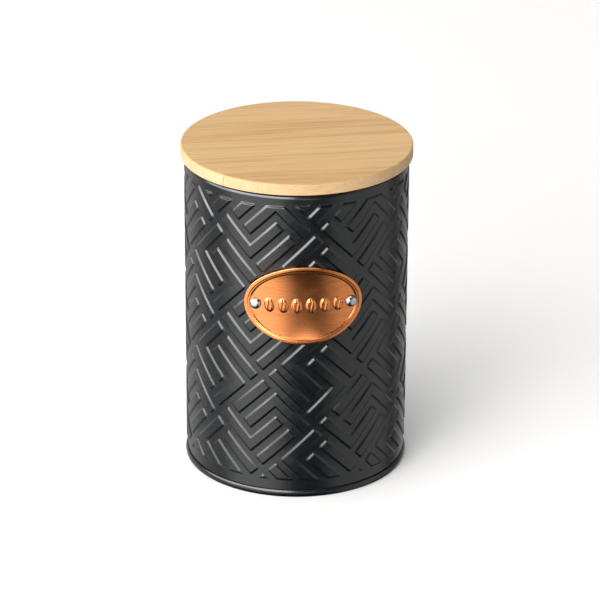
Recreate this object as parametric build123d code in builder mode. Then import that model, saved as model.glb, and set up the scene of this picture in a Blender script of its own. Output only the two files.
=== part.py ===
from build123d import *
import os
from math import cos, degrees, radians, sin

# A round tinplate kitchen canister with a bamboo lid. Millimetres, +Z up. The origin is on the
# table under the centre of the base, and the copper label plate faces the front, -Y.

# driving dimensions: can body
sheet = 0.30  # tinplate
band_r = 49.40  # outside of the two plain bands
field_r = 49.95  # tops of the raised bars in the patterned field
field_bottom_z, field_top_z = 8.2, 139.7
field_step = 0.6  # height over which the wall steps out to the field
rim_top_z = 144.9
mouth_r = 47.20  # inside of the curled rim
curl_drop, curl_return, curl_end = 2.4, 1.4, 1.1  # the curl: down, out again, and up
step_round, shoulder_round, mouth_round, curl_round = 0.4, 0.95, 0.9, 0.6
seam_fold_w, seam_fold_t = 5.0, 0.6  # folded side seam inside the back of the wall
seam_fold_margin = 2.0  # plain wall between the fold and each end of the field

# base pan and its double seam
foot_r = 50.30
foot_top_z = 3.20
hook_r, hook_end_z = 49.62, 1.1
wall_foot_z = 0.45
panel_z = 4.6
panel_ring_r, panel_ring_z, panel_ring_slope = 44.5, 5.4, 1.0
bead_round, foot_round, chuck_round, ring_round, panel_round = 0.25, 0.45, 0.35, 0.8, 0.5

# label plate and rivets
plate_z = 93.5
plate_half_w, plate_half_h = 25.5, 18.4  # seen straight from the front
plate_back_r = 50.00
plate_t, rim_h, rim_w = 0.50, 0.60, 1.9
bean_count, bean_pitch = 6, 6.1
bean_half_w, bean_half_h, bean_t = 2.3, 3.5, 0.5
bean_top_w, bean_top_h = 1.27, 2.28  # half sizes of a bean's flat top
crease_l, crease_w, crease_turn = 5.6, 0.4, 80  # the groove along each bean
rivet_arc = 21.35  # distance of each rivet from the plate's centre, along the wall
shank_r, head_r, head_h = 1.30, 2.6, 1.5
tail_r, tail_h, tail_end_r = 2.1, 0.9, 1.47
fit_gap = 0.05
through = 3.0  # how far a cut runs past a sheet on each side

# lid
lid_r = 51.5
board_bottom_z, board_t = 145.6, 5.2
top_ease, bottom_ease = 0.5, 0.25  # chamfers along the board's two edges
strip_w, first_joint, joint_count = 20.0, -35.8, 5  # joints between strips, across the grain
grain_angle = 4.3  # the grain, from +X towards +Y
plug_r, plug_h, plug_chamfer = 45.0, 8.0, 1.0
groove_bottom_z, groove_h, groove_depth = 141.2, 3.4, 1.4
seal_tip_r = 46.90
fin_t, fin_pitch, fin_count = 0.6, 1.15, 3

plate_face_r = plate_back_r + plate_t
rivet_angle = degrees(rivet_arc / plate_back_r)
os.makedirs("parts", exist_ok=True)


def facing(angle, distance, z):
    """Plane square to the can's radius at an angle from the front, towards +X."""
    a = radians(angle)
    out = (sin(a), -cos(a), 0)
    return Plane(origin=(distance * out[0], distance * out[1], z), x_dir=(cos(a), sin(a), 0), z_dir=out)


def radial_section(angle, z):
    """Plane through the can's axis: local X runs out along the radius, and local Y runs up."""
    a = radians(angle)
    return Plane(origin=(0, 0, z), x_dir=(sin(a), -cos(a), 0), z_dir=(-cos(a), -sin(a), 0))


def save(block, name):
    block.part.label = name
    export_step(block.part, f"parts/{name}.step")


# The wall is one sheet. It steps out to the patterned field, and its top edge curls inwards.
curl_bottom_z = rim_top_z - curl_drop
with BuildPart() as body_wall:
    with BuildSketch(Plane.XZ):
        with BuildLine():
            FilletPolyline(
                (band_r, wall_foot_z),
                (band_r, field_bottom_z - field_step),
                (field_r, field_bottom_z),
                (field_r, field_top_z),
                (band_r, field_top_z + field_step),
                (band_r, rim_top_z),
                (mouth_r, rim_top_z),
                (mouth_r, curl_bottom_z),
                (mouth_r + curl_return, curl_bottom_z),
                (mouth_r + curl_return, curl_bottom_z + curl_end),
                radius=4 * [step_round] + [shoulder_round, mouth_round, curl_round, curl_round],
            )
            offset(amount=sheet, side=Side.LEFT)
        make_face()
    revolve(axis=Axis.Z)
    with BuildSketch(Plane.XY.offset(field_bottom_z + seam_fold_margin)):
        Circle(field_r - sheet + fit_gap)
        Circle(field_r - sheet - seam_fold_t, mode=Mode.SUBTRACT)
        with Locations((0, field_r)):
            Rectangle(seam_fold_w, seam_fold_w, mode=Mode.INTERSECT)
    extrude(amount=field_top_z - field_bottom_z - 2 * seam_fold_margin)
    for side in (-1, 1):
        with BuildSketch(facing(side * rivet_angle, field_r - through, plate_z)):
            Circle(shank_r + fit_gap)
        extrude(amount=2 * through, mode=Mode.SUBTRACT)
save(body_wall, "body_wall")

# The base is a pan. Its edge goes under the wall, up outside it and hooks in: the double seam.
leg_r = foot_r - sheet / 2
with BuildPart() as base_pan:
    with BuildSketch(Plane.XZ):
        with BuildLine() as pan_line:
            FilletPolyline(
                (hook_r, hook_end_z),
                (hook_r, foot_top_z - sheet / 2),
                (leg_r, foot_top_z - sheet / 2),
                (leg_r, sheet / 2),
                (band_r - sheet - fit_gap - sheet / 2, sheet / 2),
                (band_r - sheet - fit_gap - sheet / 2, panel_ring_z),
                (panel_ring_r + panel_ring_slope, panel_ring_z),
                (panel_ring_r, panel_z),
                (0, panel_z),
                radius=2 * [bead_round] + [foot_round, chuck_round, ring_round, panel_round, panel_round],
            )
        trace(pan_line.line, line_width=sheet)
    revolve(axis=Axis.Z)
save(base_pan, "base_pan")

# The plate is an oval of copper sheet bent round the wall, with a raised rim and a row of beans.
with BuildPart() as plate_recess:
    with BuildSketch(Plane.XZ.offset(plate_back_r / 2)):
        with Locations((0, plate_z)):
            Ellipse(plate_half_w - rim_w, plate_half_h - rim_w)
    extrude(amount=plate_back_r)
    with BuildSketch(Plane.XY.offset(plate_z - 2 * plate_half_h)):
        Circle(plate_face_r)
    extrude(amount=4 * plate_half_h, mode=Mode.SUBTRACT)

with BuildPart() as label_plate:
    with BuildSketch(Plane.XZ.offset(plate_back_r / 2)):
        with Locations((0, plate_z)):
            Ellipse(plate_half_w, plate_half_h)
    extrude(amount=plate_back_r)
    with BuildSketch(Plane.XY.offset(plate_z - 2 * plate_half_h)):
        Circle(plate_face_r + rim_h)
        Circle(plate_back_r, mode=Mode.SUBTRACT)
    extrude(amount=4 * plate_half_h, mode=Mode.INTERSECT)
    add(plate_recess.part, mode=Mode.SUBTRACT)
    for i in range(bean_count):
        bean_angle = degrees((i - (bean_count - 1) / 2) * bean_pitch / plate_face_r)
        with BuildSketch(facing(bean_angle, plate_face_r - bean_t / 2, plate_z)):
            Ellipse(bean_half_w, bean_half_h)
        with BuildSketch(facing(bean_angle, plate_face_r + bean_t, plate_z)):
            Ellipse(bean_top_w, bean_top_h)
        loft()
        with BuildSketch(facing(bean_angle, plate_face_r + bean_t / 2, plate_z)):
            SlotOverall(crease_l, crease_w, rotation=crease_turn)
        extrude(amount=bean_t, mode=Mode.SUBTRACT)
    for side in (-1, 1):
        with BuildSketch(facing(side * rivet_angle, plate_back_r - through, plate_z)):
            Circle(shank_r + fit_gap)
        extrude(amount=2 * through, mode=Mode.SUBTRACT)
save(label_plate, "label_plate")

# Each rivet has a domed head outside, a shank through plate and wall, and a set tail inside.
head_u = plate_face_r + 0.02
tail_u = field_r - sheet - 0.07
for name, side in (("rivet_left", -1), ("rivet_right", 1)):
    plane = radial_section(side * rivet_angle, plate_z)
    with BuildPart() as rivet:
        with BuildSketch(plane):
            with BuildLine():
                Polyline(
                    (head_u + head_h, 0),
                    (tail_u - tail_h, 0),
                    (tail_u - tail_h, tail_end_r),
                    (tail_u - tail_h / 2, tail_r),
                    (tail_u, tail_r),
                    (tail_u, shank_r),
                    (head_u, shank_r),
                    (head_u, head_r),
                )
                TangentArc((head_u + head_h, 0), (head_u, head_r), tangent=(0, 1))
            make_face()
        revolve(axis=Axis(plane.origin, plane.x_dir))
    save(rivet, name)

# The lid's board is glued up edge to edge from bamboo strips, and then turned round.
grain = radians(grain_angle)
board_plane = Plane(origin=(0, 0, board_bottom_z), x_dir=(cos(grain), sin(grain), 0), z_dir=(0, 0, 1))
joints = [first_joint + i * strip_w for i in range(joint_count)]
strip_edges = [-lid_r, *joints, lid_r]
for i, (near, far) in enumerate(zip(strip_edges, strip_edges[1:]), start=1):
    with BuildPart() as strip:
        with BuildSketch(board_plane):
            Circle(lid_r)
            with Locations((0, (near + far) / 2)):
                Rectangle(2 * lid_r, far - near, mode=Mode.INTERSECT)
        extrude(amount=board_t)
        chamfer(strip.faces().sort_by(Axis.Z)[-1].edges().filter_by(GeomType.CIRCLE), length=top_ease)
        chamfer(strip.faces().sort_by(Axis.Z)[0].edges().filter_by(GeomType.CIRCLE), length=bottom_ease)
    save(strip, f"lid_strip_{i}")

# The plug is glued under the board, and its groove holds the seal.
with BuildPart() as lid_plug:
    with BuildSketch(Plane.XZ) as plug_section:
        with Locations((0, board_bottom_z - plug_h)):
            Rectangle(plug_r, plug_h, align=(Align.MIN, Align.MIN))
        chamfer(plug_section.vertices().group_by(Axis.Y)[0].sort_by(Axis.X)[-1], length=plug_chamfer)
        with Locations((plug_r - groove_depth, groove_bottom_z)):
            Rectangle(2 * groove_depth, groove_h, align=(Align.MIN, Align.MIN), mode=Mode.SUBTRACT)
    revolve(axis=Axis.Z)
save(lid_plug, "lid_plug")

# The silicone seal: a band in the groove, with fins that reach out to the rim.
band_in_r = plug_r - groove_depth + fit_gap
with BuildPart() as lid_seal:
    with BuildSketch(Plane.XZ):
        with Locations((band_in_r, groove_bottom_z + fit_gap)):
            Rectangle(groove_depth, groove_h - 2 * fit_gap, align=(Align.MIN, Align.MIN))
        with Locations((seal_tip_r, groove_bottom_z + groove_h / 2)):
            with GridLocations(1, fin_pitch, 1, fin_count):
                Rectangle(seal_tip_r - band_in_r, fin_t, align=(Align.MAX, Align.CENTER))
    revolve(axis=Axis.Z)
save(lid_seal, "lid_seal")
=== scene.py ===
"""Looks of a black embossed kitchen canister with a copper label plate and a bamboo lid.

Laid out as an add-on: property groups hold sizes and colours, one operator makes each piece, and a
panel lists them. Metres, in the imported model's own frame: +Z up, label plate facing -Y.
"""

import math

import bmesh
import bpy
import numpy as np
from bpy.props import FloatProperty, FloatVectorProperty, IntProperty, PointerProperty
from bpy.types import Operator, Panel, PropertyGroup
from mathutils import Matrix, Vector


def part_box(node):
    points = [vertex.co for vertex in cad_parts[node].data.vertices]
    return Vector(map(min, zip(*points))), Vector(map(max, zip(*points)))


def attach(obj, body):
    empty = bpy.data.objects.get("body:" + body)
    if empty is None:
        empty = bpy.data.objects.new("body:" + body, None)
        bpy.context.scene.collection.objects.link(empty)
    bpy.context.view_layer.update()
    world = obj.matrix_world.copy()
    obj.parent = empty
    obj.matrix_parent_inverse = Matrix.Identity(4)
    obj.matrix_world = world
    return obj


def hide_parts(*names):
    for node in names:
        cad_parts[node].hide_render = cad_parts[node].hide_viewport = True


bl_info = {
    "name": "Embossed canister",
    "version": (1, 0, 0),
    "blender": (4, 5, 0),
    "location": "View3D > Sidebar > Canister",
    "description": "Makes the pieces, finishes and studio of an embossed canister with a bamboo lid",
    "category": "Object",
}

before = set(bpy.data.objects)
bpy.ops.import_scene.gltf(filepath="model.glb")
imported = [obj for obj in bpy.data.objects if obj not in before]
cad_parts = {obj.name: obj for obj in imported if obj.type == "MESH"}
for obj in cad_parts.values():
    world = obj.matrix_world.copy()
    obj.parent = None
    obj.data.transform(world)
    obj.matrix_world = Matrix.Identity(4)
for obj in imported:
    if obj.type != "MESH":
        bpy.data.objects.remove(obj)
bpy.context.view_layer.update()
MM = 0.001


def linear(code):
    """Linear RGB of an sRGB hex colour, by the sRGB transfer curve."""
    channels = [int(code[i : i + 2], 16) / 255 for i in (1, 3, 5)]
    return tuple(c / 12.92 if c <= 0.04045 else ((c + 0.055) / 1.055) ** 2.4 for c in channels)


def length(name, about, default):
    return FloatProperty(name=name, description=about, default=default, min=0, unit="LENGTH", precision=5)


def angle(name, about, default):
    return FloatProperty(name=name, description=about, default=default, subtype="ANGLE")


def colour(name, about, code):
    return FloatVectorProperty(
        name=name, description=about, default=linear(code), subtype="COLOR", size=3, min=0, max=1
    )


# ------------------------------------------------------------------ sizes read from the frame


def radius_of(node):
    """Half the width of a node's box."""
    low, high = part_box(node)
    return (high.x - low.x) / 2


FIELD_RADIUS = radius_of("body_wall")
FOOT_RADIUS = radius_of("base_pan")
WALL_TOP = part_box("body_wall")[1].z
WALL_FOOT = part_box("body_wall")[0].z
PLATE_LOW, PLATE_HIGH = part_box("label_plate")
PLATE_BACK = FIELD_RADIUS + 0.05 * MM  # inner radius of the label plate
BOARD_LOW, BOARD_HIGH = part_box("lid_strip_3")
PLUG_LOW, PLUG_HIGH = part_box("lid_plug")
SEAL_LOW, SEAL_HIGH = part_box("lid_seal")
NECK = 1.2 * MM  # height of the plain band between the field and the rim's own ring
CREASE = 0.05 * MM  # a row of points this near an end keeps the smooth shading flat up to it
LID_RADIUS = max(radius_of(f"lid_strip_{i}") for i in (3, 4))


class WallSettings(PropertyGroup):
    """The tinplate wall and its pressed pattern"""

    sheet: length("Sheet", "Thickness of the tinplate", 0.3 * MM)
    tile: length("Tile", "Side of the square that the pattern repeats in", 46.4 * MM)
    plateau: length("Bar top", "Width of a raised bar's flat top", 3.3 * MM)
    slope: length("Slope", "Width of the slope at a bar's side", 1.2 * MM)
    height: length("Height", "How far the bars stand out of the wall", 0.55 * MM)
    field_low: length("Field foot", "Where the pattern starts above the table", 8.0 * MM)
    field_high: length("Field top", "Where the pattern ends above the table", 139.9 * MM)
    seam_width: length("Seam width", "Width of the fold inside the side seam", 5.0 * MM)
    seam_margin: length("Seam margin", "Plain sheet on each side of the side seam", 4.0 * MM)
    mouth: length("Mouth", "Inner radius of the curled rim", 47.2 * MM)
    enamel: colour("Enamel", "Satin black baked enamel", "#0B0D0F")


class PlateSettings(PropertyGroup):
    """The copper label plate and its rivets"""

    thickness: length("Thickness", "Thickness of the copper sheet", 0.5 * MM)
    rim_width: length("Rim width", "Width of the raised rim", 1.9 * MM)
    rim_height: length("Rim height", "Height of the rim over the plate's face", 0.6 * MM)
    dish: length("Dish", "How far the face's middle lies below its upper and lower edge", 0.6 * MM)
    bean_count: IntProperty(name="Beans", description="Beans in the pressed row", default=6, min=1)
    bean_pitch: length("Bean pitch", "Distance between two beans", 6.1 * MM)
    bean_half_width: length("Bean half width", "Half a bean's width", 2.35 * MM)
    bean_half_height: length("Bean half height", "Half a bean's height", 3.6 * MM)
    bean_rise: length("Bean rise", "Height of a bean over the plate's face", 0.6 * MM)
    copper: colour("Copper", "Brushed copper", "#F49A5A")
    copper_dark: colour("Dark copper", "Copper in the brush lines", "#A0481C")
    steel: colour("Rivet steel", "Nickel-plated rivet head", "#C9CBCC")


class LidSettings(PropertyGroup):
    """The bamboo lid and its seal"""

    strip_width: length("Strip width", "Width of a bamboo strip", 20.0 * MM)
    first_joint: FloatProperty(
        name="First joint",
        description="The nearest joint's place across the grain",
        default=-35.8 * MM,
        unit="LENGTH",
        precision=5,
    )
    grain_angle: angle("Grain angle", "Direction of the grain, from +X towards +Y", math.radians(4.3))
    top_round: length("Top round", "Rounding of the board's upper edge", 0.8 * MM)
    bottom_round: length("Bottom round", "Rounding of the board's lower edge", 0.4 * MM)
    pale: colour("Pale bamboo", "The light wood between the fibres", "#CDA872")
    amber: colour("Amber bamboo", "The darker bands along the grain", "#B5874E")
    # The edge colour is partly the sanded, cut grain and partly painted shade: it is darker than the top to
    # stand for less light falling on the board's side.
    edge: colour("Edge bamboo", "The sanded edge of the board", "#BFA37D")
    fibre: colour("Fibre", "The brown fibre bundles", "#98652F")
    silicone: colour("Silicone", "Translucent white silicone", "#E9E7E1")


class StudioSettings(PropertyGroup):
    """Camera and light"""

    azimuth: angle("Azimuth", "Camera's turn round the can", math.radians(-3.9))
    elevation: angle("Elevation", "Camera's height angle", math.radians(23.78))
    distance: length("Distance", "From the camera to the can's axis", 1.4496)
    aim_height: length("Aim height", "Height on the axis that the distance is taken to", 76.4 * MM)
    pitch: angle("Pitch", "How far below that point the camera looks", 0.0014)
    yaw: angle("Yaw", "How far right of that point the camera looks", 0.0012)
    roll: angle("Roll", "Turn about the view line", 0.0047)
    lens: FloatProperty(name="Lens", description="Focal length on a 36 mm sensor, in mm", default=192.85)
    floor: colour("Floor", "Plain pale floor", "#FBFAF9")


class CanisterSettings(PropertyGroup):
    """All settings of the canister"""

    wall: PointerProperty(type=WallSettings)
    plate: PointerProperty(type=PlateSettings)
    lid: PointerProperty(type=LidSettings)
    studio: PointerProperty(type=StudioSettings)


# ------------------------------------------------------------------ surfaces


def grid_faces(rows, columns, wrap_rows=False, wrap_columns=False):
    """Quads between neighbouring rows and columns of a point grid, wrapped round where asked."""
    index = np.arange(rows * columns).reshape(rows, columns)
    if wrap_rows:
        index = np.vstack([index, index[:1]])
    if wrap_columns:
        index = np.hstack([index, index[:, :1]])
    a, b, c, d = index[:-1, :-1], index[:-1, 1:], index[1:, 1:], index[1:, :-1]
    return np.stack([a, b, c, d], -1).reshape(-1, 4)


def make_piece(name, points, faces, merge=0.0):
    """A smooth mesh object from an array of points and one of quads, with coinciding points merged."""
    mesh = bpy.data.meshes.new(name)
    mesh.from_pydata(points.reshape(-1, 3).tolist(), [], faces.tolist())
    if merge:
        work = bmesh.new()
        work.from_mesh(mesh)
        bmesh.ops.remove_doubles(work, verts=work.verts, dist=merge)
        bmesh.ops.dissolve_degenerate(work, edges=work.edges, dist=merge)
        work.to_mesh(mesh)
        work.free()
    mesh.shade_smooth()
    piece = bpy.data.objects.new(name, mesh)
    bpy.context.scene.collection.objects.link(piece)
    return piece


def rounded(corners, radii, steps=6):
    """The line through the corners, with an arc of the given radius at each inner corner."""
    corners = np.array(corners, float)
    line = [corners[:1]]
    for before, corner, after, radius in zip(corners, corners[1:], corners[2:], radii):
        to_before, to_after = before - corner, after - corner
        to_before /= np.linalg.norm(to_before)
        to_after /= np.linalg.norm(to_after)
        half = math.acos(np.clip(to_before @ to_after, -1, 1)) / 2
        middle = to_before + to_after
        middle /= np.linalg.norm(middle)
        centre = corner + middle * radius / math.sin(half)
        start = corner + to_before * radius / math.tan(half) - centre
        end = corner + to_after * radius / math.tan(half) - centre
        sweep = math.pi - 2 * half
        t = np.linspace(0, 1, steps + 1)[:, None]
        arc = (np.sin((1 - t) * sweep) * start + np.sin(t * sweep) * end) / math.sin(sweep)
        line.append(centre + arc)
    line.append(corners[-1:])
    return np.vstack(line)


def thickened(line, thickness):
    """Closed outline of a sheet: the line, then the same line moved left by the thickness, turned back."""
    step = np.gradient(line, axis=0)
    step /= np.linalg.norm(step, axis=1)[:, None]
    left = np.stack([-step[:, 1], step[:, 0]], -1)
    return np.vstack([line, (line + left * thickness)[::-1]])


def lathe(profile, segments, closed=True):
    """A profile of (radius, height) carried round the can's axis; a closed one is a ring."""
    turn = np.linspace(0, 2 * math.pi, segments, endpoint=False)
    r, z = profile[:, :1], profile[:, 1:]
    points = np.stack([r * np.cos(turn), r * np.sin(turn), z + 0 * turn], -1)
    return points, grid_faces(len(profile), segments, closed, True)


def smooth_step(x):
    """0 below 0, 1 above 1, and a cubic with level ends between."""
    x = np.clip(x, 0, 1)
    return x * x * (3 - 2 * x)


SLOPE_PLACES = (0, 0.17, 0.83, 1)  # where a pressed slope's level foot, straight middle and crown meet
SLOPE_HEIGHTS = (0, 0.08, 0.92, 1)


def pressed_slope(x):
    """Height across a pressed slope: straight for most of its width, gentler at its foot and crown."""
    return np.interp(x, SLOPE_PLACES, SLOPE_HEIGHTS)


def finish_piece(piece, body, slot, material, *nodes):
    """Give a piece its material and the body it rides on, and hide the nodes that it stands for. Its slot is
    not used.
    """
    piece.data.materials.append(material)
    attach(piece, body)
    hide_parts(*nodes)
    return piece


# ------------------------------------------------------------------ the pressed pattern

# Each band of the pattern as the lattice points that it runs through: four chevrons and four bars.
# The lattice's first number counts up to the right, its second up to the left.
BANDS = (
    ((0, 5), (0, 4), (0, 3), (1, 3), (2, 3)),
    ((0, 2), (1, 2), (2, 2)),
    ((1, 4), (2, 4), (3, 4), (3, 3), (3, 2)),
    ((1, 5), (2, 5), (3, 5)),
    ((0, 6), (1, 6), (2, 6), (2, 7), (2, 8)),
    ((3, 6), (3, 7), (3, 8)),
    ((5, 3), (5, 4), (5, 5), (6, 5), (7, 5)),
    ((4, 3), (4, 4), (4, 5)),
)
LATTICE_PER_TILE = 4
PHASE_S, PHASE_D = 0.2 * MM, 13.45 * MM  # where lattice point (0, 0) lies: x + z and z - x
PATTERN_RADIUS = 49.93 * MM  # the pattern's lengths along the wall are taken at this radius


def link_tables():
    """For each lattice point of the tile, whether a bar runs on up-right and up-left.

    A tile step along the wall adds 4 and takes 4, and one up it adds 4 and 4, so a point's place in the
    tile is its sum and its difference, each modulo 8."""
    size = 2 * LATTICE_PER_TILE
    right, left = np.zeros((size, size), bool), np.zeros((size, size), bool)
    for band in BANDS:
        for (i, j), (m, n) in zip(band, band[1:]):
            low = (min(i, m), min(j, n))
            table = right if i != m else left
            table[(low[0] + low[1]) % size, (low[0] - low[1]) % size] = True
    return right, left


def pattern_height(x, z, wall):
    """Height of the pressed bars, 0 to 1, at arc length x and height z.

    A point's distance is taken to the flat tops next to it: the square round its lattice point, and the
    bars that run on from there. The height falls from 1 to 0 over the slope's width, rounded at corners,
    and also towards the field's four straight edges."""
    size = 2 * LATTICE_PER_TILE
    pitch = wall.tile / LATTICE_PER_TILE
    s, d = (x + z - PHASE_S) / pitch, (z - x - PHASE_D) / pitch
    i, j = np.rint(s).astype(int), np.rint(d).astype(int)
    across = pitch / math.sqrt(2)
    a, b = (s - i) * across, (d - j) * across
    right, left = link_tables()

    def joined(table, di, dj):
        return table[(i + di + j + dj) % size, (i + di - j - dj) % size]

    half = wall.plateau / 2
    open_a = np.where(a > 0, joined(right, 0, 0), joined(right, -1, 0))
    open_b = np.where(b > 0, joined(left, 0, 0), joined(left, 0, -1))
    da, db = np.maximum(abs(a) - half, 0), np.maximum(abs(b) - half, 0)
    gap = np.minimum(np.hypot(da, db), np.minimum(np.where(open_a, db, 1), np.where(open_b, da, 1)))
    rise = 1 - pressed_slope(gap / wall.slope)
    edge = np.minimum(z - wall.field_low, wall.field_high - z)
    edge = np.minimum(edge, math.pi * PATTERN_RADIUS - wall.seam_margin - abs(x))
    return np.minimum(rise, pressed_slope(edge / wall.slope))


def field_sheet(wall):
    """The flat patterned field as a bmesh: a grid on the pattern's diagonals, whose lines lie on the bars'
    slopes, cut straight along the field's four edges and the slopes there."""
    pitch = wall.tile / LATTICE_PER_TILE / math.sqrt(2)
    share = np.array(SLOPE_PLACES) * wall.slope + wall.plateau / 2
    offsets = np.concatenate([-share[::-1], share])
    half_x = math.pi * PATTERN_RADIUS
    margin = 2 * pitch

    def lines(phase, low, high):
        first, last = math.floor((low - phase) / pitch) - 1, math.ceil((high - phase) / pitch) + 1
        return (np.arange(first, last + 1)[:, None] * pitch + phase + offsets).ravel()

    reach = (half_x + wall.field_high + margin) / math.sqrt(2)
    s = lines(PHASE_S / math.sqrt(2), -half_x / math.sqrt(2), reach)
    d = lines(PHASE_D / math.sqrt(2), -half_x / math.sqrt(2), reach)
    grid_s, grid_d = np.meshgrid(s, d)
    x, z = (grid_s - grid_d) / math.sqrt(2), (grid_s + grid_d) / math.sqrt(2)
    faces = grid_faces(len(d), len(s))
    centre_x, centre_z = x.ravel()[faces].mean(1), z.ravel()[faces].mean(1)
    keep = (abs(centre_x) < half_x + margin) & (centre_z > wall.field_low - margin)
    keep &= centre_z < wall.field_high + margin
    faces = faces[keep]
    used, faces = np.unique(faces, return_inverse=True)
    points = np.stack([x.ravel()[used], 0 * used, z.ravel()[used]], -1)
    flat = bpy.data.meshes.new("field")
    flat.from_pydata(points.tolist(), [], faces.reshape(-1, 4).tolist())
    work = bmesh.new()
    work.from_mesh(flat)
    bpy.data.meshes.remove(flat)
    seam = half_x - wall.seam_margin
    for part in SLOPE_PLACES:
        step = part * wall.slope
        cut(work, (0, 0, wall.field_low + step), (0, 0, -1), part == 0)
        cut(work, (0, 0, wall.field_high - step), (0, 0, 1), part == 0)
        cut(work, (seam - step, 0, 0), (1, 0, 0), False)
        cut(work, (step - seam, 0, 0), (-1, 0, 0), False)
    butt_gap = 0.06 * MM
    cut(work, (half_x - butt_gap, 0, 0), (1, 0, 0), True)
    cut(work, (butt_gap - half_x, 0, 0), (-1, 0, 0), True)
    return work


def cut(work, point, normal, clear):
    """Cut a mesh by a plane, and where asked clear away what lies on the side its normal points to."""
    geometry = work.verts[:] + work.edges[:] + work.faces[:]
    return bmesh.ops.bisect_plane(
        work, geom=geometry, dist=1e-6, plane_co=point, plane_no=normal, clear_outer=clear
    )


def wall_band(mesh_points, low, profile):
    """Rows of points that carry a profile on from one of the field's straight edges.

    The edge's own points, in order along the wall, are the first row; each further row has the same arc
    lengths and the next radius and height of the profile."""
    x, z = mesh_points[:, 0], mesh_points[:, 2]
    edge = np.flatnonzero(abs(z - low) < 1e-6)
    edge = edge[np.argsort(x[edge])]
    arc = np.broadcast_to(x[edge], (len(profile), len(edge)))
    radius = np.broadcast_to(profile[:, :1], arc.shape)
    height = np.broadcast_to(profile[:, 1:], arc.shape)
    return edge, np.stack([arc, radius, height], -1)


def body_wall_mesh(wall):
    """The outer skin of the wall below its rim, open along the side seam.

    The field's points stand out by the pattern's height, and plain bands go down to the foot and a
    little way up to the rim. Every point is then turned round the axis by its arc length over the
    pattern's radius."""
    work = field_sheet(wall)
    mesh = bpy.data.meshes.new("body_wall_skin")
    work.to_mesh(mesh)
    work.free()
    flat = np.empty(len(mesh.vertices) * 3)
    mesh.vertices.foreach_get("co", flat)
    flat = flat.reshape(-1, 3)
    band = FIELD_RADIUS - wall.height
    radius = band + wall.height * pattern_height(flat[:, 0], flat[:, 2], wall)
    sheet_points = np.stack([flat[:, 0], radius, flat[:, 2]], -1)
    faces = [list(p.vertices) for p in mesh.polygons]
    bpy.data.meshes.remove(mesh)

    foot = np.array([(band, wall.field_low - 3 * MM), (band, WALL_FOOT)])
    neck = np.array([(band, wall.field_high + NECK - CREASE), (band, wall.field_high + NECK)])
    rows = [sheet_points]
    for height, profile, upward in ((wall.field_low, foot, False), (wall.field_high, neck, True)):
        edge, grid = wall_band(flat, height, profile)
        start = sum(len(r) for r in rows)
        index = np.vstack([edge, start + np.arange(grid.size // 3).reshape(grid.shape[:2])])
        a, b, c, d = index[:-1, :-1], index[:-1, 1:], index[1:, 1:], index[1:, :-1]
        order = (a, b, c, d) if upward else (a, d, c, b)
        faces += np.stack(order, -1).reshape(-1, 4).tolist()
        rows.append(grid.reshape(-1, 3))
    points = np.vstack(rows)
    turn = points[:, 0] / PATTERN_RADIUS
    bent = np.stack([points[:, 1] * np.sin(turn), -points[:, 1] * np.cos(turn), points[:, 2]], -1)
    return bent, faces


# ------------------------------------------------------------------ finishes


def add_node(tree, kind, inputs=(), **settings):
    """One shader node with its settings.

    Its inputs are named in a dict, or stand in the sockets' own order in a tuple. Each is a value, another
    node's socket, or a node, which gives its first output in use."""
    node = tree.nodes.new(f"ShaderNode{kind}")
    for key, value in settings.items():
        setattr(node, key, value)
    for key, value in (inputs if isinstance(inputs, dict) else dict(enumerate(inputs))).items():
        if isinstance(value, bpy.types.Node):
            value = next(socket for socket in value.outputs if socket.enabled)
        if isinstance(value, bpy.types.NodeSocket):
            tree.links.new(value, node.inputs[key])
        else:
            node.inputs[key].default_value = value
    return node


def new_material(name):
    """An empty material, its node tree, and the Object coordinates that its patterns are laid out in."""
    material = bpy.data.materials.new(name)
    material.use_nodes = True
    tree = material.node_tree
    tree.nodes.clear()
    return material, tree, add_node(tree, "TexCoord").outputs["Object"]


def finish_material(material, inputs):
    """End a material with the surface that the inputs give."""
    tree = material.node_tree
    add_node(tree, "OutputMaterial", {"Surface": add_node(tree, "BsdfPrincipled", inputs)})
    return material


def rgba(value):
    return (*value, 1.0)


def mottling(tree, place, size, detail=2.0, stretch=(1, 1, 1), roughness=0.5):
    """Uneven cloud whose patches are about the given size across, stretched along the axes.

    It mostly lies between 0.3 and 0.7, so those are what it is usually carried from."""
    scaled = add_node(tree, "Mapping", {"Vector": place, "Scale": [1 / (size * s) for s in stretch]})
    return add_node(
        tree, "TexNoise", {"Vector": scaled, "Scale": 1.0, "Detail": detail, "Roughness": roughness}
    )


def black_enamel(wall):
    """Baked enamel on tinplate, sprayed: satin black, with a faint orange peel and cloudy gloss."""
    material, tree, place = new_material("satin_black_enamel")
    clouds = mottling(tree, place, 22 * MM, 3)
    speck = mottling(tree, place, 0.7 * MM, 2)  # dust in the coat, drawn coarser than it is, to show
    peel = mottling(tree, place, 1.1 * MM, 3)
    cloudy = add_node(tree, "MapRange", (clouds, 0.35, 0.65, 0, 1))
    dark = rgba(0.8 * c for c in wall.enamel)
    tone = add_node(tree, "Mix", {0: cloudy, 6: dark, 7: rgba(wall.enamel)}, data_type="RGBA")
    cloudy_gloss = add_node(tree, "MapRange", (clouds, 0.3, 0.7, 0.2, 0.24))
    speck_gloss = add_node(tree, "MapRange", (speck, 0.3, 0.7, -0.01, 0.02))
    gloss = add_node(tree, "Math", (cloudy_gloss, speck_gloss), operation="ADD")
    skin = add_node(tree, "Bump", {"Height": peel, "Distance": 0.0015 * MM})
    return finish_material(
        material, {"Base Color": tone, "Roughness": gloss, "Normal": skin, "IOR": 1.56}
    )


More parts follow.
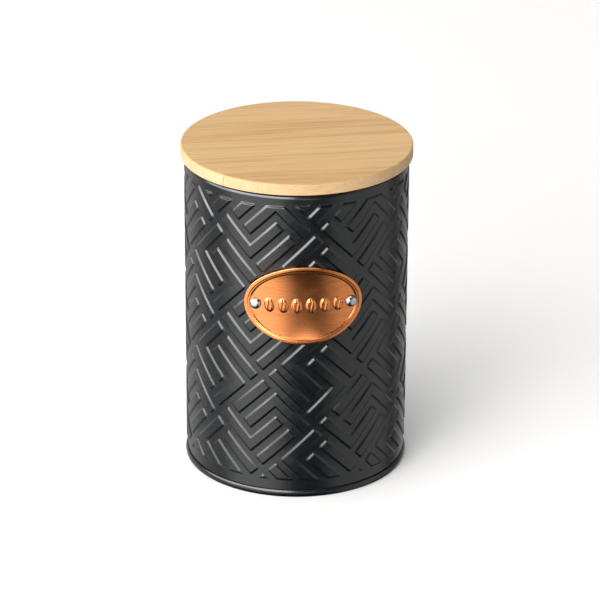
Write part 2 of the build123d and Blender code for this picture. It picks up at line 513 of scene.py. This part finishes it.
def brushed_copper(plate):
    """Copper sheet, brushed along its length and lacquered: fine level lines, and a stretched sheen."""
    material, tree, place = new_material("brushed_copper")
    # Real brush lines are a few hundredths of a millimetre apart; these are coarser, so that they show.
    brush = mottling(tree, place, 0.12 * MM, 3, stretch=(60, 60, 1))
    broad = mottling(tree, place, 0.6 * MM, 2, stretch=(40, 40, 1))
    clouds = mottling(tree, place, 9 * MM, 3)
    fine = add_node(tree, "Math", (brush, 0.6), operation="MULTIPLY")
    coarse = add_node(tree, "Math", (broad, 0.4), operation="MULTIPLY")
    lines = add_node(tree, "Math", (fine, coarse), operation="ADD")
    share = add_node(tree, "MapRange", (lines, 0.35, 0.65, 0.0, 0.5))
    tone = add_node(
        tree, "Mix", {0: share, 6: rgba(plate.copper), 7: rgba(plate.copper_dark)}, data_type="RGBA"
    )
    line_gloss = add_node(tree, "MapRange", (lines, 0.35, 0.65, 0.2, 0.28))
    cloudy_gloss = add_node(tree, "MapRange", (clouds, 0.3, 0.7, -0.02, 0.03))
    return finish_material(
        material,
        {
            "Base Color": tone,
            "Roughness": add_node(tree, "Math", (line_gloss, cloudy_gloss), operation="ADD"),
            "Normal": add_node(tree, "Bump", {"Height": lines, "Distance": 0.006 * MM}),
            "Metallic": 1.0,
            "Coat Weight": 0.3,
            "Coat Roughness": 0.22,
        },
    )


def plated_steel(plate):
    """Nickel-plated steel rivet: bright, with fine handling scratches, drawn coarser than they are."""
    material, tree, place = new_material("nickel_plated_steel")
    scratch = mottling(tree, place, 0.08 * MM, 3, stretch=(1, 1, 14))
    stain = mottling(tree, place, 1.2 * MM, 3)
    stained = add_node(tree, "MapRange", (stain, 0.4, 0.65, 0, 1))
    dull = rgba(0.82 * c for c in plate.steel)
    tone = add_node(tree, "Mix", {0: stained, 6: rgba(plate.steel), 7: dull}, data_type="RGBA")
    return finish_material(
        material,
        {
            "Base Color": tone,
            "Roughness": add_node(tree, "MapRange", (scratch, 0.3, 0.7, 0.1, 0.24)),
            "Normal": add_node(tree, "Bump", {"Height": scratch, "Distance": 0.003 * MM}),
            "Metallic": 1.0,
        },
    )


def varnished_bamboo(lid, name, seed, amber_share, joints=()):
    """Bamboo strip, sanded and thinly varnished, so almost matt.

    Fibre bundles run the length of the strip, so they are fine streaks on the top, and dots where the edge
    cuts across the grain. A thin dark line of glue runs along each joint. The side takes a darker edge
    colour than the top: partly the sanded, cut grain, and partly painted shade for the light that falls less
    on the side."""
    material, tree, place = new_material(name)
    shift = (0.31 * seed, 0.017 * seed, 0.011 * seed)  # another stretch of bamboo for each strip
    turn = (0, 0, -lid.grain_angle)
    along = add_node(tree, "Mapping", {"Vector": place, "Rotation": turn, "Location": shift})
    bands = mottling(tree, along, 2.4 * MM, 3, stretch=(26, 1, 1.6), roughness=0.55)
    streaks = mottling(tree, along, 0.55 * MM, 3, stretch=(70, 1, 1), roughness=0.6)
    grain = mottling(tree, along, 0.16 * MM, 2, stretch=(50, 1, 1))

    # Each fibre bundle is a cell, long along the grain. Real ones are thinner, and wouldn't show.
    bundle_scale = [1 / (size * MM) for size in (14, 0.7, 0.7)]
    bundle_place = add_node(tree, "Mapping", {"Vector": along, "Scale": bundle_scale})
    bundles = add_node(tree, "TexVoronoi", {"Vector": bundle_place, "Scale": 1.0}, feature="F1")
    dots = add_node(tree, "MapRange", (bundles, 0.16, 0.3, 1, 0))

    banding = add_node(tree, "MapRange", (bands, 0.3, 0.7, -0.2, 0.6))
    streaking = add_node(tree, "MapRange", (streaks, 0.3, 0.7, -0.2, 0.35))
    uneven = add_node(tree, "Math", (banding, streaking), operation="ADD")
    tone = add_node(tree, "Math", (uneven, amber_share), operation="ADD")
    top_share = add_node(tree, "MapRange", (tone, 0, 1, 0, 1))
    side_share = add_node(tree, "MapRange", (tone, 0, 1, 0, 0.45))
    pale, amber, edge, fibre = map(rgba, (lid.pale, lid.amber, lid.edge, lid.fibre))
    top = add_node(tree, "Mix", {0: top_share, 6: pale, 7: amber}, data_type="RGBA")
    side = add_node(tree, "Mix", {0: side_share, 6: edge, 7: amber}, data_type="RGBA")

    # Sides take the edge colour, which carries painted shade as well as the sanded grain; tops take the top
    # colours.
    facing = add_node(tree, "NewGeometry").outputs["Normal"]
    height = add_node(tree, "SeparateXYZ", (facing,)).outputs["Z"]
    upward = add_node(tree, "Math", (height,), operation="ABSOLUTE")
    level = add_node(tree, "MapRange", (upward, 0.25, 0.75, 0, 1))
    wood = add_node(tree, "Mix", {0: level, 6: side, 7: top}, data_type="RGBA")
    dot_strength = add_node(tree, "MapRange", (upward, 0.25, 0.75, 0.45, 0.12))
    dot_share = add_node(tree, "Math", (dots, dot_strength), operation="MULTIPLY")
    wood = add_node(tree, "Mix", {0: dot_share, 6: wood, 7: fibre}, data_type="RGBA")

    across = add_node(tree, "SeparateXYZ", (along,)).outputs["Y"]
    for joint in joints:
        off = add_node(tree, "Math", (across, joint + shift[1]), operation="SUBTRACT")
        distance = add_node(tree, "Math", (off,), operation="ABSOLUTE")
        glue = add_node(tree, "MapRange", (distance, 0.08 * MM, 0.3 * MM, 0.45, 0))
        wood = add_node(tree, "Mix", {0: glue, 6: wood, 7: fibre}, data_type="RGBA")
    streak_relief = add_node(tree, "Math", (streaks, 0.8), operation="MULTIPLY")
    relief = add_node(tree, "Math", (grain, streak_relief), operation="ADD")
    return finish_material(
        material,
        {
            "Base Color": wood,
            "Roughness": add_node(tree, "MapRange", (streaks, 0.3, 0.7, 0.54, 0.66)),
            "Normal": add_node(tree, "Bump", {"Height": relief, "Distance": 0.008 * MM}),
            "IOR": 1.45,
        },
    )


def white_silicone(lid):
    """Moulded translucent silicone: milky, soft sheen, with light scattering under the skin."""
    material, tree, place = new_material("translucent_silicone")
    clouds = mottling(tree, place, 6 * MM, 3)
    dust = mottling(tree, place, 0.4 * MM, 2)  # coarser than real dust, to show
    cloudy = add_node(tree, "MapRange", (clouds, 0.35, 0.65, 0, 1))
    grey = rgba(0.86 * c for c in lid.silicone)
    tone = add_node(tree, "Mix", {0: cloudy, 6: rgba(lid.silicone), 7: grey}, data_type="RGBA")
    return finish_material(
        material,
        {
            "Base Color": tone,
            "Roughness": add_node(tree, "MapRange", (dust, 0.3, 0.7, 0.38, 0.52)),
            "Normal": add_node(tree, "Bump", {"Height": dust, "Distance": 0.004 * MM}),
            "IOR": 1.41,
            "Subsurface Weight": 0.25,
            "Subsurface Radius": (1.0, 0.9, 0.8),
            "Subsurface Scale": 1.5 * MM,
        },
    )


def pale_floor(studio):
    """Matt paper sweep with a very faint tooth, drawn coarser than paper's own."""
    material, tree, place = new_material("paper_floor")
    tooth = mottling(tree, place, 1.5 * MM, 3)
    shade = rgba(0.98 * c for c in studio.floor)
    tone = add_node(tree, "Mix", {0: tooth, 6: shade, 7: rgba(studio.floor)}, data_type="RGBA")
    return finish_material(material, {"Base Color": tone, "Roughness": 0.9})


# ------------------------------------------------------------------ operators


class CANISTER_OT_body_wall(Operator):
    """Make the enamelled wall with its pressed pattern"""

    bl_idname = "canister.body_wall"
    bl_label = "Body wall"

    def execute(self, context):
        wall = context.scene.canister.wall
        enamel = black_enamel(wall)
        points, faces = body_wall_mesh(wall)
        mesh = bpy.data.meshes.new("body_wall_pressed")
        mesh.from_pydata(points.tolist(), [], faces)
        mesh.shade_smooth()
        piece = bpy.data.objects.new("body_wall_pressed", mesh)
        context.scene.collection.objects.link(piece)
        solid = piece.modifiers.new("sheet", "SOLIDIFY")
        solid.thickness = wall.sheet
        solid.offset = -1
        normals = piece.modifiers.new("flats", "WEIGHTED_NORMAL")
        normals.mode = "FACE_AREA"
        normals.weight = 50
        finish_piece(piece, "tin", "black_enamel", enamel, "body_wall")
        return {"FINISHED"}


class CANISTER_OT_curled_rim(Operator):
    """Make the wall's upper end, which is rolled in and curled"""

    bl_idname = "canister.curled_rim"
    bl_label = "Curled rim"

    def execute(self, context):
        wall = context.scene.canister.wall
        points, faces = lathe(thickened(rim_line(wall), wall.sheet), 384)
        piece = make_piece("body_rim_curled", points, faces)
        finish_piece(piece, "tin", "black_enamel", bpy.data.materials["satin_black_enamel"], "body_wall")
        return {"FINISHED"}


def rim_line(wall):
    """The rim's outer line: up from the field, in over a soft shoulder, and curled back under."""
    band = FIELD_RADIUS - wall.height
    drop, back, lip = 2.4 * MM, 1.4 * MM, 1.1 * MM  # the curl: down, out again, and up
    start = wall.field_high + NECK
    line = rounded(
        [
            (band, start + CREASE),
            (band, WALL_TOP - 1.9 * MM),
            (band - 0.35 * MM, WALL_TOP - 0.85 * MM),
            (band - 1.2 * MM, WALL_TOP),
            (wall.mouth, WALL_TOP),
            (wall.mouth, WALL_TOP - drop),
            (wall.mouth + back, WALL_TOP - drop),
            (wall.mouth + back, WALL_TOP - drop + lip),
        ],
        [1.5 * MM, 1.0 * MM, 0.8 * MM, 0.5 * MM, 0.6 * MM, 0.6 * MM],
        steps=5,
    )
    return np.vstack([[(band, start)], line])


class CANISTER_OT_side_seam(Operator):
    """Make the folded side seam inside the back of the wall"""

    bl_idname = "canister.side_seam"
    bl_label = "Side seam"

    def execute(self, context):
        wall = context.scene.canister.wall
        points, faces = side_seam_mesh(wall)
        piece = make_piece("side_seam_folded", points, faces, merge=1e-8)
        finish_piece(piece, "tin", "black_enamel", bpy.data.materials["satin_black_enamel"], "body_wall")
        return {"FINISHED"}


def side_seam_mesh(wall):
    """Two layers of sheet folded flat: a rounded bar section carried up the inside of the back wall.

    Each point of the section lies at an arc length from the seam line and a depth in from the wall; rows
    at both ends shrink to the section's middle, which closes the bar."""
    outer = FIELD_RADIUS - wall.height - wall.sheet + 0.02 * MM
    half, depth = wall.seam_width / 2, 2 * wall.sheet
    corners = [(0, 0), (half, 0), (half, depth), (0, depth)]
    right = rounded(corners, [0.05 * MM, 0.25 * MM], steps=5)
    section = np.vstack([right, (right * (-1, 1))[::-1][1:-1]])
    middle = np.array([0, depth / 2])
    low, high = wall.field_low + 2 * MM, wall.field_high - 2 * MM
    share = np.array([0, 0.8, 1, 1, 0.8, 0])[:, None, None]
    z = np.array([low, low, low + 0.1 * MM, high - 0.1 * MM, high, high])[:, None]
    ring = middle + share * (section - middle)
    turn = math.pi + ring[..., 0] / outer
    r = outer - ring[..., 1]
    points = np.stack([r * np.sin(turn), -r * np.cos(turn), z + 0 * r], -1)
    return points, grid_faces(len(share), len(section), False, True)


class CANISTER_OT_base_pan(Operator):
    """Make the recessed base with its double seam"""

    bl_idname = "canister.base_pan"
    bl_label = "Base pan"

    def execute(self, context):
        wall = context.scene.canister.wall
        enamel = bpy.data.materials["satin_black_enamel"]
        sheet = wall.sheet
        foot = FOOT_RADIUS
        band = FIELD_RADIUS - wall.height
        top = 3.25 * MM  # of the double seam
        hook = band + 0.07 * MM
        chuck = band - sheet - 0.05 * MM
        panel, ring = 4.45 * MM, 5.25 * MM  # heights of the panel and of the ring pressed round it
        ring_radius, panel_radius, middle_radius = 45.5 * MM, 44.5 * MM, 30.5 * MM
        middle = panel + 0.35 * MM
        skin = rounded(
            [
                (hook, 1.1 * MM),
                (hook, top),
                (foot - 0.4 * MM, top),
                (foot - 0.05 * MM, top - 0.9 * MM),
                (foot, 1.7 * MM),
                (foot - 0.4 * MM, 0),
                (chuck - sheet, 0),
                (chuck - sheet, ring),
                (ring_radius, ring),
                (panel_radius, panel),
                (middle_radius, panel),
                (middle_radius - 0.5 * MM, middle),
                (0, middle),
            ],
            [r * MM for r in (0.12, 0.25, 0.8, 0.8, 0.55, 0.5, 0.7, 0.6, 0.6, 0.4, 0.4)],
        )
        outline = thickened(skin[::-1], sheet)
        points, faces = lathe(outline, 288, closed=False)
        piece = make_piece("base_pan_seamed", points, faces, merge=1e-7)
        finish_piece(piece, "tin", "black_enamel", enamel, "base_pan")
        return {"FINISHED"}


class CANISTER_OT_label_plate(Operator):
    """Make the bent copper plate with its raised rim and its row of beans"""

    bl_idname = "canister.label_plate"
    bl_label = "Label plate"

    def execute(self, context):
        plate = context.scene.canister.plate
        points, faces = label_plate_mesh(plate)
        piece = make_piece("label_plate_copper", points, faces, merge=1e-8)
        finish_piece(piece, "tin", "copper", brushed_copper(plate), "label_plate")
        return {"FINISHED"}


def bean_height(u, v, plate):
    """Height of the row of beans at a place on the flat plate, 0 to 1.

    Each bean is an oval dome with a level foot, and a crease that follows one wave of a sine along it."""
    offset = (np.arange(plate.bean_count) - (plate.bean_count - 1) / 2) * plate.bean_pitch
    nearest = offset[np.argmin(abs(u[..., None] - offset), axis=-1)]
    x, y = (u - nearest) / plate.bean_half_width, v / plate.bean_half_height
    lean, foot, crown = 0.16, 0.42, 0.28  # shares of the bean's half size, and of its height
    wave, crease_width, crease_depth = 0.16, 0.17, 0.75
    x, y = x + lean * y, y - lean * 0.4 * x
    reach = np.hypot(x, y)
    dome = smooth_step((1.0 - reach) / foot) * (1 - crown + crown * np.sqrt(np.maximum(1 - reach**2, 0)))
    crease = abs(x - wave * np.sin(math.pi * y))
    depth = smooth_step((crease_width - crease) / crease_width) * smooth_step((0.95 - abs(y)) / 0.2)
    return dome * (1 - crease_depth * depth)


def label_plate_mesh(plate):
    """The oval plate, bent round the wall.

    Rows are ovals as seen from the front: they grow from the middle over the face, then go up and over
    the rim, down the outer edge and back behind. A point that lies x to the side turns round the axis by
    the arcsine of x over the wall's radius, and stands out by its row's rise."""
    back = PLATE_BACK
    half_x, half_z = PLATE_HIGH.x, (PLATE_HIGH.z - PLATE_LOW.z) / 2
    middle_z = (PLATE_HIGH.z + PLATE_LOW.z) / 2
    rim, width = plate.thickness + plate.rim_height, plate.rim_width
    face = rim - 0.22 * MM
    flare, behind = 0.7 * MM, 2 * MM  # how far the rim's line runs in over the face, and behind
    rows, back_rows, columns = 112, 12, 540
    rim_line = rounded(
        [(width + flare, face), (width, face), (width - 0.5 * MM, rim), (0, rim), (0, 0), (behind, 0)],
        [0.3 * MM, 0.4 * MM, 0.5 * MM, 0.12 * MM],
        steps=7,
    )
    grow = np.linspace(0, 1, rows)[:-1]
    inset = width + flare
    shrink = np.linspace(1, 0, back_rows + 1)[1:]
    across = np.concatenate([grow * (half_x - inset), half_x - rim_line[:, 0], shrink * (half_x - behind)])
    up = np.concatenate([grow * (half_z - inset), half_z - rim_line[:, 0], shrink * (half_z - behind)])
    rise = np.concatenate([np.full(rows - 1, face), rim_line[:, 1], np.zeros(back_rows)])
    turn = np.linspace(0, 2 * math.pi, columns, endpoint=False)
    angle = np.arcsin(across[:, None] * np.cos(turn) / back)
    v = up[:, None] * np.sin(turn)
    w = rise[:, None] + 0 * turn
    w[: rows - 1] += plate.bean_rise * bean_height(back * angle, v, plate)[: rows - 1]
    w[: rows - 1] -= plate.dish * (1 - (v / (half_z - inset)) ** 4)[: rows - 1]
    r = back + w
    points = np.stack([r * np.sin(angle), -r * np.cos(angle), middle_z + v], -1)
    return points, grid_faces(len(across), columns, False, True)[:, ::-1]


class CANISTER_OT_rivets(Operator):
    """Make the two domed rivets"""

    bl_idname = "canister.rivets"
    bl_label = "Rivets"

    def execute(self, context):
        plate = context.scene.canister.plate
        steel = plated_steel(plate)
        for name in ("rivet_left", "rivet_right"):
            points, faces = rivet_mesh(name, plate)
            piece = make_piece(f"{name}_plated", points, faces, merge=1e-8)
            finish_piece(piece, "tin", "rivet_steel", steel, name)
        return {"FINISHED"}


def rivet_mesh(name, plate):
    """A rivet turned about its own axis, which points out from the can's axis through the head's centre."""
    low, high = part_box(name)
    middle_z = (low.z + high.z) / 2
    head = (high.z - low.z) / 2
    seat = PLATE_BACK + plate.thickness + 0.02 * MM
    shank, tail, tail_radius = 1.3 * MM, 0.9 * MM, 2.1 * MM
    inside = FIELD_RADIUS - 0.3 * MM - 0.07 * MM
    dome, lip = 1.5 * MM, 0.28 * MM
    rise = np.linspace(0, math.pi / 2, 14)
    crown = np.stack([(head - 0.12 * MM) * np.cos(rise), seat + lip + (dome - lip) * np.sin(rise) ** 0.9], -1)
    start = [
        (0, inside - tail),
        (0.75 * tail_radius, inside - tail),
        (0.94 * tail_radius, inside - 0.8 * tail),
        (tail_radius, inside - 0.45 * tail),
        (tail_radius, inside),
        (shank, inside),
        (shank, seat),
        (head - 0.06 * MM, seat),
        (head, seat + 0.08 * MM),
        (head, seat + lip * 0.75),
    ]
    line = np.vstack([start, crown])
    across = math.hypot((low.x + high.x) / 2, (low.y + high.y) / 2)
    out = np.array([(low.x + high.x) / 2, (low.y + high.y) / 2, 0]) / across
    side = np.array([-out[1], out[0], 0])
    turn = np.linspace(0, 2 * math.pi, 64, endpoint=False)
    r, along = line[:, :1, None], line[:, 1:, None]
    spread = np.cos(turn)[None, :, None] * side + np.sin(turn)[None, :, None] * np.array([0, 0, 1.0])
    points = along * out + r * spread + np.array([0, 0, middle_z])
    return points, grid_faces(len(line), len(turn), False, True)


class CANISTER_OT_lid_board(Operator):
    """Make the bamboo strips that the lid's board is glued up from"""

    bl_idname = "canister.lid_board"
    bl_label = "Lid board"

    def execute(self, context):
        lid = context.scene.canister.lid
        bottom, top = BOARD_LOW.z, BOARD_HIGH.z
        outline = rounded(
            [(0, bottom), (LID_RADIUS, bottom), (LID_RADIUS, top), (0, top)],
            [lid.bottom_round, lid.top_round],
            steps=8,
        )
        joints = lid.first_joint + lid.strip_width * np.arange(5)
        edges = [-2 * LID_RADIUS, *joints, 2 * LID_RADIUS]
        shares = np.random.default_rng(7).permutation(np.linspace(-0.22, 0.22, len(edges) - 1))
        normal = np.array([-math.sin(lid.grain_angle), math.cos(lid.grain_angle), 0])
        for i, (near, far) in enumerate(zip(edges, edges[1:]), start=1):
            name = f"lid_strip_{i}"
            points, faces = lathe(outline, 320, closed=False)
            piece = make_piece(f"{name}_bamboo", points, faces, merge=1e-7)
            trim_strip(piece.data, normal, near, far)
            bevel = piece.modifiers.new("eased", "BEVEL")
            bevel.width = 0.09 * MM
            bevel.segments = 2
            bevel.angle_limit = math.radians(50)
            bamboo = varnished_bamboo(lid, f"varnished_bamboo_{i}", i, float(shares[i - 1]), (near, far))
            finish_piece(piece, "lid", "bamboo", bamboo, name)
        return {"FINISHED"}


def trim_strip(mesh, normal, near, far):
    """Cut the turned disc down to the strip between two joints, and close it along them."""
    work = bmesh.new()
    work.from_mesh(mesh)
    for place, outward in ((near, -normal), (far, normal)):
        made = cut(work, normal * place, outward, True)
        rim = [e for e in made["geom_cut"] if isinstance(e, bmesh.types.BMEdge)]
        if rim:
            bmesh.ops.edgenet_fill(work, edges=rim)
    bmesh.ops.recalc_face_normals(work, faces=work.faces)
    for face in work.faces:
        face.smooth = abs(face.normal.z) < 0.999 and abs(face.normal.dot(normal.tolist())) < 0.999
    work.to_mesh(mesh)
    work.free()


class CANISTER_OT_lid_plug(Operator):
    """Make the bamboo plug under the board"""

    bl_idname = "canister.lid_plug"
    bl_label = "Lid plug"

    def execute(self, context):
        lid = context.scene.canister.lid
        radius = (PLUG_HIGH.x - PLUG_LOW.x) / 2
        low, high = PLUG_LOW.z, PLUG_HIGH.z
        groove = radius - 1.4 * MM
        groove_low, groove_high = SEAL_LOW.z - 0.05 * MM, SEAL_HIGH.z + 0.05 * MM
        outline = rounded(
            [
                (0, low),
                (radius - 0.9 * MM, low),
                (radius, low + 0.9 * MM),
                (radius, groove_low),
                (groove, groove_low),
                (groove, groove_high),
                (radius, groove_high),
                (radius, high),
                (0, high),
            ],
            [0.25 * MM, 0.25 * MM, 0.12 * MM, 0.1 * MM, 0.1 * MM, 0.12 * MM, 0.1 * MM],
            steps=4,
        )
        points, faces = lathe(outline, 256, closed=False)
        piece = make_piece("lid_plug_bamboo", points, faces, merge=1e-7)
        finish_piece(piece, "lid", "bamboo", varnished_bamboo(lid, "turned_bamboo", 11, 0.1), "lid_plug")
        return {"FINISHED"}


class CANISTER_OT_lid_seal(Operator):
    """Make the finned silicone seal"""

    bl_idname = "canister.lid_seal"
    bl_label = "Lid seal"

    def execute(self, context):
        lid = context.scene.canister.lid
        points, faces = lathe(seal_outline(), 256)
        piece = make_piece("lid_seal_moulded", points, faces, merge=1e-7)
        finish_piece(piece, "lid", "silicone", white_silicone(lid), "lid_seal")
        return {"FINISHED"}


def seal_outline():
    """A band with three fins: the outer radius swells three times over the height, with rounded tips."""
    low, high = SEAL_LOW.z, SEAL_HIGH.z
    tip = (SEAL_HIGH.x - SEAL_LOW.x) / 2
    inner = (PLUG_HIGH.x - PLUG_LOW.x) / 2 - 1.35 * MM
    band = inner + 1.4 * MM
    z = np.linspace(low, high, 73)
    pitch = 1.15 * MM  # between two fins
    wave = np.cos((z - (low + high) / 2) / pitch * 2 * math.pi)
    fin = smooth_step((wave - 0.05) / 0.5)
    outer = np.stack([band + (tip - band) * fin, z], -1)
    ease = 0.1 * MM
    upper = [(inner + ease, high), (inner, high - ease)]
    lower = [(inner, low + ease), (inner + ease, low)]
    return np.vstack([outer, upper, lower])


class CANISTER_OT_studio(Operator):
    """Make the floor, the soft lights and the camera"""

    bl_idname = "canister.studio"
    bl_label = "Studio"

    def execute(self, context):
        studio = context.scene.canister.studio
        add_floor(context.scene, studio)
        add_lights(context.scene)
        add_camera(context.scene, studio)
        context.scene.view_settings.view_transform = "Standard"
        return {"FINISHED"}


def add_floor(scene, studio):
    """A round sheet of paper, 6 m across. It lights the can from below but doesn't show in its gloss,
    because the can would be grey all over; the room's own glow stands for it there."""
    radius = 3.0
    turn = np.linspace(0, 2 * math.pi, 64, endpoint=False)
    rim = radius * np.stack([np.cos(turn), np.sin(turn), 0 * turn], -1)
    mesh = bpy.data.meshes.new("floor")
    mesh.from_pydata(rim.tolist(), [], [list(range(len(turn)))])
    floor = bpy.data.objects.new("floor", mesh)
    scene.collection.objects.link(floor)
    mesh.materials.append(pale_floor(studio))
    floor.visible_glossy = False


def heading(azimuth, elevation):
    """Unit vector that points an azimuth round from the front, towards +X, and an elevation up."""
    a, e = math.radians(azimuth), math.radians(elevation)
    return np.array([math.sin(a) * math.cos(e), -math.cos(a) * math.cos(e), math.sin(e)])


def looking(back, place, roll):
    """Matrix whose -Z looks along minus back, with its Y as near up as it can be, then rolled."""
    right = np.cross([0, 0, 1], back)
    right /= np.linalg.norm(right)
    up = np.cross(back, right)
    turn = np.eye(4)
    turn[:3, 0] = math.cos(roll) * right + math.sin(roll) * up
    turn[:3, 1] = math.cos(roll) * up - math.sin(roll) * right
    turn[:3, 2], turn[:3, 3] = back, place
    return Matrix(turn.tolist())


def add_softbox(scene, name, azimuth, elevation, distance, size, power):
    """A rectangular area light that faces the middle of the can."""
    light = bpy.data.lights.new(name, "AREA")
    light.shape = "RECTANGLE"
    light.size, light.size_y = size
    light.energy = power
    lamp = bpy.data.objects.new(name, light)
    scene.collection.objects.link(lamp)
    out = heading(azimuth, elevation)
    lamp.matrix_world = looking(out, out * distance + np.array([0, 0, 0.08]), 0)


def glow(tree, direction, azimuth, elevation, inner, outer, strength):
    """Light from round one heading: full within the inner angle and none past the outer one."""
    middle = tuple(heading(azimuth, elevation))
    facing = add_node(tree, "VectorMath", (direction, middle), operation="DOT_PRODUCT").outputs["Value"]
    low, high = math.cos(math.radians(outer)), math.cos(math.radians(inner))
    return add_node(tree, "MapRange", (facing, low, high, 0.0, strength), interpolation_type="SMOOTHSTEP")


# The room's glows: azimuth, elevation, the angles where each starts and ends its fade, and strength.
GLOWS = (
    (-45, -10, 12, 44, 2.2),  # the pale floor at the front left
    (-112, 0, 30, 70, 0.6),  # the wall on the left
    (69, -14, 22, 49, 0.85),  # the pale floor on the right
    (6, -3, 6, 18, 2.4),  # a low bright patch in front
    (180, -5, 30, 80, 0.3),  # the wall behind
    (-38, 42, 7, 16, 6.0),  # a small high window at the front left
    (150, -18, 8, 32, 0.2),  # the floor behind
)


def add_room(scene):
    """The room's own light: a dim even level with the glows added, and pale where the camera sees it."""
    world = bpy.data.worlds.new("studio")
    world.use_nodes = True
    scene.world = world
    tree = world.node_tree
    tree.nodes.clear()
    direction = add_node(tree, "TexCoord").outputs["Generated"]
    dim, backdrop = 0.03, 0.9
    level = dim
    for row in GLOWS:
        level = add_node(tree, "Math", (glow(tree, direction, *row), level), operation="ADD")
    seen = add_node(tree, "LightPath").outputs["Is Camera Ray"]
    shown = add_node(tree, "Mix", {0: seen, 2: level, 3: backdrop})
    background = add_node(tree, "Background", {"Strength": shown})
    world.cycles.sampling_method = "NONE"  # the floor would shade what lies below it
    add_node(tree, "OutputWorld", {"Surface": background})


# Area lights: name, azimuth, elevation, distance, width and height, and power in watts.
SOFTBOXES = (
    ("key_front_left", -40, 19, 1.7, (2.05, 0.6), 37),
    ("side_left", -84, 10, 1.7, (1.1, 0.6), 12),
    ("overhead", 0, 80, 1.6, (1.5, 1.3), 12.3),
    ("back", 170, 36, 1.7, (1.6, 0.7), 7),
)


def add_lights(scene):
    for softbox in SOFTBOXES:
        add_softbox(scene, *softbox)
    add_room(scene)


def add_camera(scene, studio):
    """The camera stands at an azimuth, elevation and distance from a point on the can's axis."""
    e, a = studio.elevation, studio.azimuth
    stand = np.array([0, -studio.distance * math.cos(e), studio.aim_height + studio.distance * math.sin(e)])
    tilt = e + studio.pitch
    ahead = np.array(
        [math.sin(studio.yaw), math.cos(tilt) * math.cos(studio.yaw), -math.sin(tilt) * math.cos(studio.yaw)]
    )
    turn = np.array([[math.cos(a), -math.sin(a), 0], [math.sin(a), math.cos(a), 0], [0, 0, 1]])
    data = bpy.data.cameras.new("camera")
    data.lens = studio.lens
    data.sensor_width = 36
    data.clip_start, data.clip_end = 0.05, 20
    camera = bpy.data.objects.new("camera", data)
    scene.collection.objects.link(camera)
    camera.matrix_world = looking(turn @ -ahead, turn @ stand, studio.roll)
    scene.camera = camera


class CANISTER_PT_sidebar(Panel):
    """Buttons for the pieces, and their sizes and colours"""

    bl_label = "Canister"
    bl_idname = "CANISTER_PT_sidebar"
    bl_space_type = "VIEW_3D"
    bl_region_type = "UI"
    bl_category = "Canister"

    def draw(self, context):
        settings = context.scene.canister
        for operator in OPERATORS:
            self.layout.operator(operator.bl_idname)
        for group in (settings.wall, settings.plate, settings.lid, settings.studio):
            box = self.layout.box()
            for name in group.__annotations__:
                box.prop(group, name)


GROUPS = (WallSettings, PlateSettings, LidSettings, StudioSettings, CanisterSettings)
OPERATORS = (
    CANISTER_OT_body_wall,
    CANISTER_OT_curled_rim,
    CANISTER_OT_side_seam,
    CANISTER_OT_base_pan,
    CANISTER_OT_label_plate,
    CANISTER_OT_rivets,
    CANISTER_OT_lid_board,
    CANISTER_OT_lid_plug,
    CANISTER_OT_lid_seal,
    CANISTER_OT_studio,
)
CLASSES = (*GROUPS, *OPERATORS, CANISTER_PT_sidebar)


def register():
    for item in CLASSES:
        bpy.utils.register_class(item)
    bpy.types.Scene.canister = PointerProperty(type=CanisterSettings)


def unregister():
    del bpy.types.Scene.canister
    for item in reversed(CLASSES):
        bpy.utils.unregister_class(item)


def main():
    register()
    bpy.ops.canister.body_wall()
    bpy.ops.canister.curled_rim()
    bpy.ops.canister.side_seam()
    bpy.ops.canister.base_pan()
    bpy.ops.canister.label_plate()
    bpy.ops.canister.rivets()
    bpy.ops.canister.lid_board()
    bpy.ops.canister.lid_plug()
    bpy.ops.canister.lid_seal()
    bpy.ops.canister.studio()


if __name__ == "__main__":
    main()
